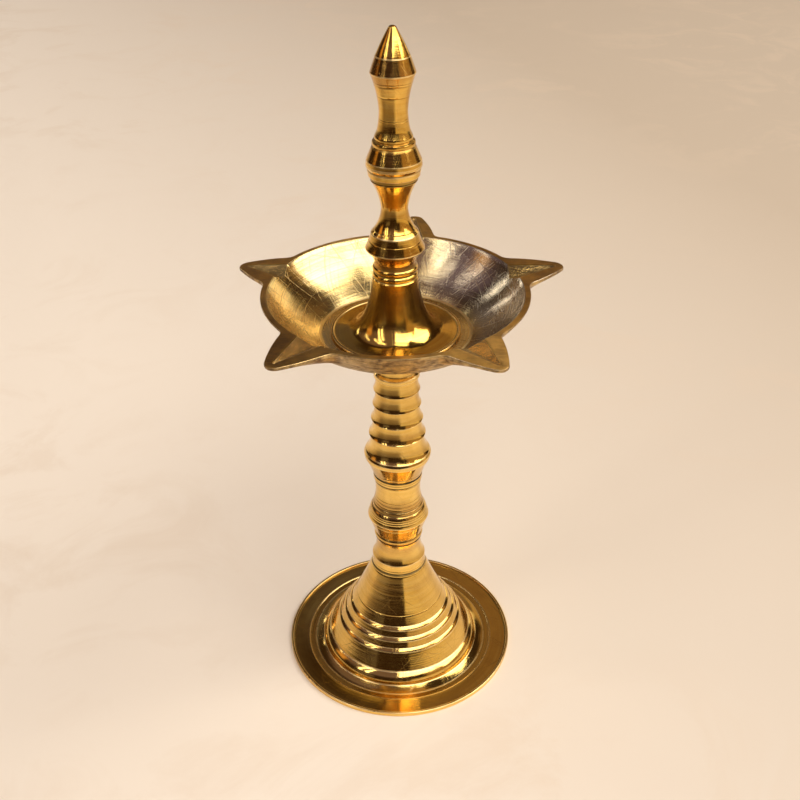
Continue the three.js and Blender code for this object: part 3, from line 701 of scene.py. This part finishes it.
# finished by hand, so each spout has its own direction, reach and width at the root
spouts = [
    {"angle": 17.8, "tipRadius": 76.15, "halfWidth": 14.2},
    {"angle": 82.8, "tipRadius": 78.15, "halfWidth": 11.8},
    {"angle": 158.2, "tipRadius": 72.55, "halfWidth": 14.2},
    {"angle": 231.2, "tipRadius": 76.25, "halfWidth": 14.2},
    {"angle": 302.4, "tipRadius": 74.55, "halfWidth": 14.2},
]


def evenly(points, count):
    # the same line in plan, with its points spaced evenly
    lengths = [0.0]
    for a, b in zip(points, points[1:]):
        lengths.append(lengths[-1] + (b - a).length)
    spaced = []
    for i in range(count + 1):
        wanted = lengths[-1] * i / count
        beyond = (n for n, reached in enumerate(lengths) if reached >= wanted - 1e-9)
        k = max(1, next(beyond, len(lengths) - 1))
        span = lengths[k] - lengths[k - 1]
        spaced.append(points[k - 1].lerp(points[k], (wanted - lengths[k - 1]) / span))
    return spaced


def spoutPlan(spout):
    # from the middle of the tip round to where the side meets the rim's circle
    b = bowl
    centre = spout["tipRadius"] - b["tipRounding"]
    arcEnd = math.radians(b["tipArc"])
    points = [Vector((centre + b["tipRounding"] * math.cos(a), b["tipRounding"] * math.sin(a)))
              for a in (arcEnd * i / 12 for i in range(13))]
    start, end = points[-1], Vector((b["rootRadius"], spout["halfWidth"]))
    chord = end - start
    bulge = Vector((chord.y, -chord.x)).normalized() * b["sideSwell"]
    middle = (start + end) / 2 + bulge * 2
    side = [bezier(start, middle, end, i / 40) for i in range(1, 41)]
    meeting = next(i for i, p in enumerate(side) if p.length < b["rimRadius"])
    cross = side[meeting]
    # a hollow fillet from the side to the rim
    leaving = next(p for p in side if (p - cross).length < b["filletRadius"])
    rimAngle = math.atan2(cross.y, cross.x) + b["filletRadius"] / b["rimRadius"]
    landing = Vector((math.cos(rimAngle), math.sin(rimAngle))) * b["rimRadius"]
    straight = [p for p in side if (p - cross).length >= b["filletRadius"] and p.x > cross.x] + [leaving]
    fillet = [bezier(leaving, cross, landing, i / 12) for i in range(1, 13)]
    return points + straight, fillet, rimAngle


def wallRadius(height, outside=True):
    # the bowl's wall at a height, the same curve that the CAD's wall has
    b = bowl
    if outside:
        start, end = (b["floorRadius"], seat["bowl"]), (b["rimRadius"], b["top"] - b["rimEdge"])
    else:
        start, end = (b["rampRadius"], b["rampTop"]), (b["innerRimRadius"], b["top"])
    middle = swollenMiddle(start, end, b["outerSwell"] if outside else b["innerSwell"])
    # solve the curve for the height
    square = start[1] - 2 * middle[1] + end[1]
    single = 2 * (middle[1] - start[1])
    root = math.sqrt(max(0.0, single * single - 4 * square * (start[1] - height)))
    t = min(1.0, max(0.0, (root - single) / (2 * square)))
    return bezier(start[0], middle[0], end[0], t)


def lerp(a, b, t):
    return a + (b - a) * t


def halfOfSpout(spout, halfGap):
    # sections of the bowl from a spout's middle to halfway to its neighbour, each from the hole in the
    # floor round under the bowl, over the rim and back; also the number of columns
    b = bowl
    grooveColumns, sideColumns, filletColumns, rimColumns = 8, 24, 7, 12
    sidePoints, filletPoints, rimAngle = spoutPlan(spout)
    tipStep = 0.6
    startOfSide = Vector((sidePoints[0].x - 0.05, tipStep))
    outline = [Vector((sidePoints[0].x - 0.05 * (i / grooveColumns) ** 2, tipStep * i / grooveColumns))
               for i in range(grooveColumns)]
    outline += evenly([startOfSide] + [p for p in sidePoints if p.y > tipStep], sideColumns)
    outline += evenly([sidePoints[-1]] + filletPoints, filletColumns)[1:]
    for i in range(1, rimColumns + 1):
        a = lerp(rimAngle, halfGap, i / rimColumns)
        outline.append(Vector((math.cos(a), math.sin(a))) * b["rimRadius"])
    columns = len(outline) - 1

    inner = []
    grooveAngle = math.asin(b["grooveHalfWidths"][0] / b["innerRimRadius"])
    for j in range(columns + 1):
        if j <= grooveColumns:
            a = math.asin(b["grooveHalfWidths"][0] * j / grooveColumns / b["innerRimRadius"])
        elif j <= grooveColumns + sideColumns + filletColumns:
            a = lerp(grooveAngle, rimAngle, (j - grooveColumns) / (sideColumns + filletColumns))
        else:
            a = lerp(rimAngle, halfGap, (j - grooveColumns - sideColumns - filletColumns) / rimColumns)
        inner.append(a)

    grooveEnd = spout["tipRadius"] - b["grooveEndMargin"]
    endShare = (grooveEnd - b["innerRimRadius"]) / (spout["tipRadius"] - b["innerRimRadius"])
    last = grooveColumns + sideColumns

    def topAt(radius):
        # the spout's top falls a little towards its tip
        share = (radius - b["innerRimRadius"]) / (spout["tipRadius"] - b["innerRimRadius"])
        return b["top"] - b["droop"] * max(0.0, share - 0.1) ** 1.4

    def section(j):
        rim = outline[j]
        reach = rim.length
        outAngle = math.atan2(rim.y, rim.x)
        baseAngle = halfGap * j / columns
        across = max(0.0, 1.0 - j / grooveColumns)
        share = min(1.0, max(0.0, (reach - b["rimRadius"]) / (spout["tipRadius"] - b["rimRadius"])))
        sideHeight = lerp(b["sideHeights"][0], b["sideHeights"][1], share)
        spoutness = 1.0 if j <= last else max(0.0, 1.0 - (j - last) / filletColumns)
        spoutness = spoutness * spoutness * (3 - 2 * spoutness)
        ease = b["edgeEase"]
        edgeTop = topAt(reach)
        points = []

        # edge marks where the bowl is painted bright, worn and with a painted highlight
        def polar(radius, angle, height, edge=0.0):
            points.append((radius * math.cos(angle), radius * math.sin(angle), height, 0.0, edge))

        # under the floor, and up the wall
        for radius in (b["holeRadius"], 9.0, 20.0, b["floorRadius"] - 0.6):
            polar(radius, baseAngle, seat["bowl"])
        for i in range(11):
            height = lerp(seat["bowl"] + 0.25, b["underStart"], i / 10)
            polar(wallRadius(height), lerp(baseAngle, outAngle, i / 10), height)
        # the keel under the spout
        sideBottom = edgeTop - sideHeight
        bottomRadius = lerp(wallRadius(sideBottom) + reach - b["rimRadius"], reach, spoutness)
        for i in range(1, 10):
            u = i / 10
            height = lerp(b["underStart"], sideBottom, u)
            straight = lerp(wallRadius(b["underStart"]), bottomRadius, u)
            polar(lerp(wallRadius(height), straight, spoutness), outAngle, height)
        # the side, with its edges eased
        for height in (sideBottom - 0.12, sideBottom + 0.12, lerp(sideBottom, edgeTop, 0.4),
                       lerp(sideBottom, edgeTop, 0.6), edgeTop - ease):
            inwards = 0.12 if height < sideBottom else 0.0
            plain = wallRadius(height) + reach - b["rimRadius"]
            polar(lerp(plain, reach, spoutness) - inwards, outAngle, height)
        polar(reach - ease * 0.3, outAngle, edgeTop - ease * 0.3, 1.0)
        # the top, with the wick's groove
        innerPoint = Vector((math.cos(inner[j]), math.sin(inner[j]))) * (b["innerRimRadius"] + ease)
        edgePoint = rim * ((reach - ease) / reach)
        if j <= grooveColumns:
            closing = Vector((grooveEnd, b["grooveHalfWidths"][1] * j / grooveColumns))
        else:
            closing = innerPoint.lerp(edgePoint, endShare)
        shares = [endShare * n / 10 for n in range(11)]
        shares += [lerp(endShare, 1.0, n / 3) for n in (0.15, 1, 2, 3)]
        for t in reversed(shares):
            if t <= endShare:
                place = innerPoint.lerp(closing, t / endShare)
                depth = across * lerp(b["grooveDepths"][0], b["grooveDepths"][1], t / endShare)
            else:
                place = closing.lerp(edgePoint, (t - endShare) / (1 - endShare))
                depth = 0.0
            points.append((place.x, place.y, topAt(place.length) - depth, across if depth else 0.0,
                           0.5 if t == 0 and not depth else 0.0))
        # down the inside
        depth = across * b["grooveDepths"][0]
        lipTop = b["top"] - depth
        for i in range(15):
            v = (i / 14) ** 0.9
            height = lerp(lipTop - ease, b["rampTop"], v)
            polar(wallRadius(height, outside=False), lerp(inner[j], baseAngle, v), height)
        # the basin's corner gets a ring painted bright, a painted highlight
        for radius, sink, edge in ((b["basinRadius"] + 0.7, 0.75, 0.0), (b["basinRadius"] + 0.3, 0.9, 1.0),
                                   (b["basinRadius"] - 0.4, 1.0, 1.0), (b["basinRadius"] - 0.8, 1.0, 0.0),
                                   (28.0, 1.0, 0.0), (20.0, 1.0, 0.0), (12.0, 1.0, 0.0),
                                   (b["holeRadius"] + 0.3, 1.0, 0.0)):
            polar(radius, baseAngle, lerp(b["rampTop"], seat["bowlFloor"], sink), edge)
        polar(b["holeRadius"], baseAngle, seat["bowlFloor"] - 0.3)
        polar(b["holeRadius"], baseAngle, seat["bowl"])
        return points

    return [section(j) for j in range(columns + 1)], columns


def makeBowl():
    bm = bmesh.new()
    grooveLayer = bm.verts.layers.float.new("groove")
    # the edge layer carries the worn edges and their painted highlight
    wearAndHighlightLayer = bm.verts.layers.float.new("edge")
    for k, spout in enumerate(spouts):
        for side, neighbour in ((1, spouts[(k + 1) % len(spouts)]), (-1, spouts[k - 1])):
            gap = math.radians((side * (neighbour["angle"] - spout["angle"])) % 360.0)
            sections, columns = halfOfSpout(spout, gap / 2)
            rows = len(sections[0]) - 1
            verts = bmesh.ops.create_grid(bm, x_segments=columns, y_segments=rows, size=0.5)["verts"]
            for vert in verts:
                j = round((vert.co.x + 0.5) * columns)
                i = round((vert.co.y + 0.5) * rows)
                x, y, z, groove, edge = sections[j][i]
                vert.co = (x * mm, side * y * mm, z * mm)
                vert[grooveLayer] = groove
                vert[wearAndHighlightLayer] = edge
            turn = Matrix.Rotation(math.radians(spout["angle"]), 3, "Z")
            bmesh.ops.rotate(bm, verts=verts, cent=(0, 0, 0), matrix=turn)
    bmesh.ops.remove_doubles(bm, verts=bm.verts, dist=2e-6)
    bmesh.ops.recalc_face_normals(bm, faces=bm.faces)
    return addPiece("oilBowl", bm, "oil_bowl", "oil_bowl", bowlBrass, 28.0)


makeBowl()


# finial, the bell below and the spire above

bell = {
    "flangeRadius": 27.5, "flangeEdge": 0.9, "lipRadius": 26.4, "flangeTopRadius": 20.0, "flangeFall": 0.6,
    "recessRadius": 18.0, "recessTop": 178.6, "mouthRadius": 6.3, "mouthTop": 180.1,
    "throatRadius": 9.4, "throatHeight": 23.6, "curveRadius": 11.5, "curveHeight": 3.0,
    "grooveRadius": 8.8, "grooveWidth": 0.6, "ringHeight": 2.3, "ringSwell": 0.6, "rings": 2,
    "neckRadius": 8.5, "neckHeight": 1.8, "knopRadius": 12.2, "knopFlareHeight": 5.6, "knopFlareHollow": 0.5,
    "shoulderRadius": 9.7, "shoulderHeight": 6.8, "shoulderHollow": 0.2,
    "waistRadius": 5.42, "waistFall": 10.4, "waistHollow": 1.0,
    "topRadius": 9.5, "topFlareHeight": 12.0, "topFlareHollow": 0.72,
    "lines": [219.5, 224.0],
}

spire = {
    "spigotRadius": 3.0, "spigotLength": 8.0, "footRadius": 9.5,
    "footHeight": 1.1, "footStep": 0.4,
    "lowerBandFoot": 10.3, "lowerBandRadius": 10.6, "lowerBandHeight": 2.1,
    "grooveRadius": 10.45, "grooveHeight": 0.5, "upperBandRadius": 11.15, "upperBandFlare": 1.3,
    "upperBandHeight": 0.7, "upperBandTop": 10.9, "upperBandFall": 1.6, "coneRadius": 8.7, "coneHeight": 5.2,
    "ringRadii": [8.3, 7.3], "ringHeight": 1.7, "ringSwell": 0.25, "ringStepHeight": 0.55,
    "neckFootRadius": 6.5, "neckFootHeight": 1.8, "waistRadius": 5.6, "waistHeight": 7.7, "waistHollow": 0.23,
    "budRadius": 8.8, "budFlareHeight": 14.3, "budFlareHollow": 0.6,
    "budShoulderRadius": 6.65, "budShoulderHeight": 6.0, "tipRadius": 1.7, "tipHeight": 9.8, "tipSwell": 0.15,
    "pointHeight": 0.99, "pointSwell": 0.35,
    "lines": [268.5, 269.3, 278.0, 282.4, 283.4],
}


def makeBell():
    p = bell
    t = screw
    boreRadius = t["majorRadius"] + t["clearance"]
    s = Section(0.0, seat["boreTop"])
    s.to(boreRadius, seat["boreTop"])
    s.to(boreRadius, p["mouthTop"])
    s.to(p["mouthRadius"], p["mouthTop"])
    s.to(p["mouthRadius"], p["recessTop"])
    s.to(p["recessRadius"], p["recessTop"])
    s.to(p["recessRadius"], seat["bell"], 0.15)
    s.to(p["flangeRadius"], seat["bell"], 0.25)
    s.cut(p["flangeRadius"], p["flangeEdge"], 0.2)
    s.cut(p["lipRadius"], 0.05, 0.15)
    s.cut(p["lipRadius"] - 0.3, -0.3, 0.0, 0.6)
    s.cut(p["lipRadius"] - 1.0, 0.05)
    s.to(p["flangeTopRadius"], seat["bell"] + p["flangeEdge"] + p["flangeFall"])
    flareFoot = s.points[-1][1]
    throat = (p["throatRadius"], flareFoot + p["throatHeight"])
    s.bend((p["curveRadius"], flareFoot + p["curveHeight"]), throat, steps=32)
    for _ in range(p["rings"]):
        s.cut(p["grooveRadius"], p["grooveWidth"], 0.0, 0.7)
        s.curve(p["grooveRadius"], p["ringHeight"], p["ringSwell"], 0.0, 0.5, 10)
    s.cut(p["neckRadius"], p["neckHeight"], 0.0, 0.3)
    s.curve(p["knopRadius"], p["knopFlareHeight"], -p["knopFlareHollow"], 0.2, 0.0, 14)
    s.curve(p["shoulderRadius"], p["shoulderHeight"], -p["shoulderHollow"], 0.12, 0.0, 12)
    s.curve(p["waistRadius"], p["waistFall"], -p["waistHollow"], steps=20)
    s.curve(p["topRadius"], p["topFlareHeight"], -p["topFlareHollow"], 0.2, 0.4, 20)
    endInSocket(s, spire["spigotRadius"], spire["spigotLength"])
    s.scribe(p["lines"], 0.28, 0.06, 0.4)
    bm = spun(s)
    # the nut's thread runs half a pitch out of step with the stud's, and fills the gap between its turns
    start = seat["threadStart"] + t["pitch"] / 2
    halfGap = t["pitch"] / 2 - t["clearance"]
    screwThread(bm, start, t["turns"] - 0.1, boreRadius, boreRadius - t["depth"],
                halfGap - t["halfCrest"], halfGap - t["halfRoot"], t["pitch"])
    return addPiece("finialBell", bm, "finial_bell", "finial_bell", finialBrass)


def makeSpire():
    p = spire
    s = startOnSpigot(p, seat["spire"], 0.5)
    s.cut(p["footRadius"], p["footHeight"], 0.0, 0.4)
    s.cut(p["lowerBandFoot"], p["footStep"], 0.1)
    s.cut(p["lowerBandRadius"], p["lowerBandHeight"], 0.1)
    s.cut(p["grooveRadius"], p["grooveHeight"], 0.0, 0.5)
    s.cut(p["upperBandRadius"], p["upperBandFlare"], 0.12)
    s.cut(p["upperBandRadius"], p["upperBandHeight"], 0.12)
    s.cut(p["upperBandTop"], p["upperBandFall"], 0.15)
    s.cut(p["coneRadius"], p["coneHeight"], 0.0, 0.3)
    for radius in p["ringRadii"]:
        s.cut(radius, p["ringStepHeight"], 0.0, 0.4)
        s.curve(radius, p["ringHeight"], p["ringSwell"], 0.0, 0.2, 8)
    s.cut(p["neckFootRadius"], p["neckFootHeight"], 0.0, 0.2)
    s.curve(p["waistRadius"], p["waistHeight"], -p["waistHollow"], steps=12)
    s.curve(p["budRadius"], p["budFlareHeight"], -p["budFlareHollow"], 0.15, 0.0, 20)
    s.cut(p["budShoulderRadius"], p["budShoulderHeight"], 0.15)
    s.curve(p["tipRadius"], p["tipHeight"], p["tipSwell"], 0.0, 0.0, 12)
    s.curve(0.0, p["pointHeight"], p["pointSwell"], steps=8)
    s.scribe(p["lines"], 0.26, 0.06, 0.4)
    return addPiece("finialSpire", spun(s), "finial_spire", "finial_spire", finialBrass)


makeBell()
makeSpire()
print("pieces made")


# table, light and camera

table = {
    # near and far are the table's painted light and painted shade, at either end of its falloff
    "size": 40.0, "roughness": 0.32, "paintedLitNear": (0.96, 0.84, 0.70, 1.0), "paintedShadedFar": (0.66, 0.545, 0.42, 1.0),
    "vein": (0.82, 0.66, 0.50, 1.0), "veinScale": 11.0, "cloudScale": 3.0,
    # dusk is a painted shade on the table: its colour, share, reach and sides
    "paintedShade": (0.10, 0.062, 0.038, 1.0), "paintedShadeShare": 0.80, "paintedShadeReach": (0.16, 0.50),
    "paintedShadeLeft": (-116.0, -76.0), "paintedShadeRight": (0.0, 24.0),
}


def makeTable():
    material, tree = emptyMaterial("paleTable")
    place = addNode(tree, "TexCoord").outputs["Object"]
    distance = addNode(tree, "VectorMath", {0: place}, operation="LENGTH").outputs["Value"]
    x, y = addNode(tree, "SeparateXYZ", {0: place}).outputs[:2]
    # painted light and shade: the table's colour is paler at the left and in front, and darker to the right and
    # at the back
    shade = calc(tree, "MULTIPLY_ADD", x, 0.9, calc(tree, "MULTIPLY", y, 0.35))
    colour = mixColour(tree, mapRange(tree, shade, -0.10, 0.52), table["paintedLitNear"], table["paintedShadedFar"])
    veins = noiseOn(tree, place, table["veinScale"], 6.0, 0.65, 1.4)
    clouds = noiseOn(tree, place, table["cloudScale"], 3.0, 0.5, 0.4)
    veins = mapRange(tree, veins, 0.48, 0.62, 0.0, 0.35)
    veins = calc(tree, "MULTIPLY", veins, mapRange(tree, clouds, 0.40, 0.60))
    colour = mixColour(tree, veins, colour, table["vein"])
    # painted shade: the table's colour falls to a dark brown in front of the lamp, at its left, as a dark patch
    # for the brass to reflect
    around = calc(tree, "ARCTAN2", x, calc(tree, "MULTIPLY", y, -1.0))
    left, right = ([math.radians(angle) for angle in table[side]] for side in ("paintedShadeLeft", "paintedShadeRight"))
    paintedShade = mapRange(tree, distance, *table["paintedShadeReach"], 0.0, table["paintedShadeShare"], smooth=True)
    paintedShade = calc(tree, "MULTIPLY", paintedShade, mapRange(tree, around, *left, smooth=True))
    paintedShade = calc(tree, "MULTIPLY", paintedShade, mapRange(tree, around, *right, 1.0, 0.0, smooth=True))
    colour = mixColour(tree, paintedShade, colour, table["paintedShade"])
    surface = addNode(tree, "BsdfPrincipled", {"Base Color": colour})
    surface.inputs["Roughness"].default_value = table["roughness"]
    addNode(tree, "OutputMaterial", {0: surface.outputs[0]})
    bm = bmesh.new()
    bmesh.ops.create_grid(bm, x_segments=1, y_segments=1, size=table["size"] / 2)
    mesh = bpy.data.meshes.new("table")
    bm.to_mesh(mesh)
    bm.free()
    mesh.materials.append(material)
    top = bpy.data.objects.new("table", mesh)
    bpy.context.scene.collection.objects.link(top)


makeTable()

# each softbox: where its middle is seen from the lamp in degrees (round from the camera's side, and up), how
# wide and how high it looks, and how bright its face is, where 1 is white
softboxes = {
    "keyRight": (87.0, 43.0, 42.0, 38.0, 4.0),
    "midRight": (27.0, 53.0, 58.0, 32.0, 4.4),
    "overRight": (36.0, 77.0, 20.0, 10.0, 3.4),
    "windowLeft": (-59.0, 41.0, 5.0, 34.0, 4.0),
    "windowFront": (-48.0, 41.0, 5.0, 34.0, 4.0),
    "highLeft": (-65.0, 62.0, 3.5, 22.0, 3.8),
    "highBack": (-79.0, 59.0, 3.0, 20.0, 3.8),
    "midBack": (-102.0, 42.0, 2.5, 20.0, 4.0),
    "lowBack": (-130.0, 23.0, 3.0, 16.0, 4.2),
    "lowestBack": (-146.0, 13.0, 2.5, 10.0, 4.2),
}
uprightBoxes = ("midRight", "windowLeft", "windowFront")  # the others are tilted to face the lamp
studio = {"distance": 6.0, "aim": 0.15, "tone": (1.0, 0.97, 0.92)}


def makeSoftbox(name, around, up, wide, high, face):
    around, up, halfWide, halfHigh = (math.radians(angle) for angle in (around, up, wide / 2, high / 2))
    level = Vector((math.sin(around), -math.cos(around), 0.0))
    aim = Vector((0.0, 0.0, studio["aim"]))
    light = bpy.data.lights.new(name, "AREA")
    light.shape = "RECTANGLE"
    lamp = bpy.data.objects.new(name, light)
    if name in uprightBoxes:
        # all of its left edge lies in one direction round the lamp
        low = studio["distance"] * math.tan(up - halfHigh)
        high = studio["distance"] * math.tan(up + halfHigh)
        light.size, light.size_y = 2 * studio["distance"] * math.tan(halfWide), high - low
        lamp.location = aim + level * studio["distance"] + Vector((0.0, 0.0, (low + high) / 2))
        facing = level
    else:
        facing = level * math.cos(up) + Vector((0.0, 0.0, math.sin(up)))
        light.size = 2 * studio["distance"] * math.tan(halfWide)
        light.size_y = 2 * studio["distance"] * math.tan(halfHigh)
        lamp.location = aim + facing * studio["distance"]
    light.color = studio["tone"]
    light.energy = face * math.pi * light.size * light.size_y
    lamp.rotation_euler = facing.to_track_quat("Z", "Y").to_euler()
    bpy.context.scene.collection.objects.link(lamp)


for name, box in softboxes.items():
    makeSoftbox(name, *box)

# the room around the table, as what the brass reflects; each glow: round and up as the softboxes have, its
# half width, half height and the softness of its edge in degrees, and its colour
roomTone = (0.036, 0.020, 0.012, 1.0)
glows = {
    "backLow": (180.0, 2.0, 48.0, 12.0, 8.0, (0.25, 0.18, 0.12, 1.0)),
    "brownBackLeft": (-164.0, 30.0, 20.0, 14.0, 8.0, (0.12, 0.10, 0.10, 1.0)),
    "goldenBack": (164.0, 25.0, 15.0, 8.0, 6.0, (0.50, 0.34, 0.17, 1.0)),
    "brownBackRight": (160.0, 42.0, 20.0, 9.0, 6.0, (0.24, 0.15, 0.08, 1.0)),
    "backHigh": (180.0, 57.0, 20.0, 4.0, 5.0, (0.50, 0.34, 0.13, 1.0)),
    "rightHigh": (76.0, 23.0, 40.0, 15.0, 10.0, (0.42, 0.26, 0.11, 1.0)),
    "rightGlow": (60.0, -1.0, 46.0, 8.0, 4.0, (0.90, 0.72, 0.46, 1.0)),
    "backRightLow": (141.0, 10.0, 9.0, 8.0, 3.0, (1.3, 1.15, 0.85, 1.0)),
    "leftRoom": (-60.0, 55.0, 64.0, 27.0, 14.0, (0.18, 0.13, 0.17, 1.0)),
    "leftGrey": (-48.0, 11.0, 13.0, 5.0, 4.0, (0.18, 0.15, 0.14, 1.0)),
    "orangeLeft": (-92.0, 24.0, 8.0, 12.0, 7.0, (0.75, 0.40, 0.14, 1.0)),
}


def makeRoom():
    world = bpy.data.worlds.new("studio")
    bpy.context.scene.world = world
    world.use_nodes = True
    tree = world.node_tree
    tree.nodes.clear()
    way = addNode(tree, "TexCoord").outputs["Generated"]
    x, y, z = addNode(tree, "SeparateXYZ", {0: way}).outputs
    around = calc(tree, "ARCTAN2", x, calc(tree, "MULTIPLY", y, -1.0))
    up = calc(tree, "ARCSINE", z)
    colour = roomTone
    for middle, rise, halfWide, halfHigh, soft, tone in glows.values():
        turned = calc(tree, "SUBTRACT", around, math.radians(middle))
        turned = calc(tree, "WRAP", turned, math.pi, -math.pi)
        raised = calc(tree, "SUBTRACT", up, math.radians(rise))
        share = 1.0
        for off, half in ((turned, halfWide), (raised, halfHigh)):
            edge = mapRange(tree, calc(tree, "ABSOLUTE", off), math.radians(half - soft / 2),
                            math.radians(half + soft / 2), 1.0, 0.0, smooth=True)
            share = calc(tree, "MULTIPLY", edge, share)
        colour = mixColour(tree, share, colour, tone)
    back = addNode(tree, "Background", {"Color": colour, "Strength": 1.0})
    addNode(tree, "OutputWorld", {0: back.outputs[0]})


makeRoom()

view = {
    "place": (0.0, -0.4028, 0.4035), "down": 33.02, "yaw": -0.196, "roll": -0.599,
    "lens": 48.89, "sensor": 36.0, "nearest": 0.01,
}


def makeCamera():
    data = bpy.data.cameras.new("camera")
    data.lens = view["lens"]
    data.sensor_width = view["sensor"]
    data.clip_start = view["nearest"]
    camera = bpy.data.objects.new("camera", data)
    turn = (Matrix.Rotation(math.radians(view["yaw"]), 4, "Z")
            @ Matrix.Rotation(math.radians(90.0 - view["down"]), 4, "X")
            @ Matrix.Rotation(math.radians(view["roll"]), 4, "Z"))
    camera.matrix_world = Matrix.Translation(view["place"]) @ turn
    bpy.context.scene.collection.objects.link(camera)
    bpy.context.scene.camera = camera


makeCamera()
bpy.context.scene.view_settings.view_transform = "Standard"
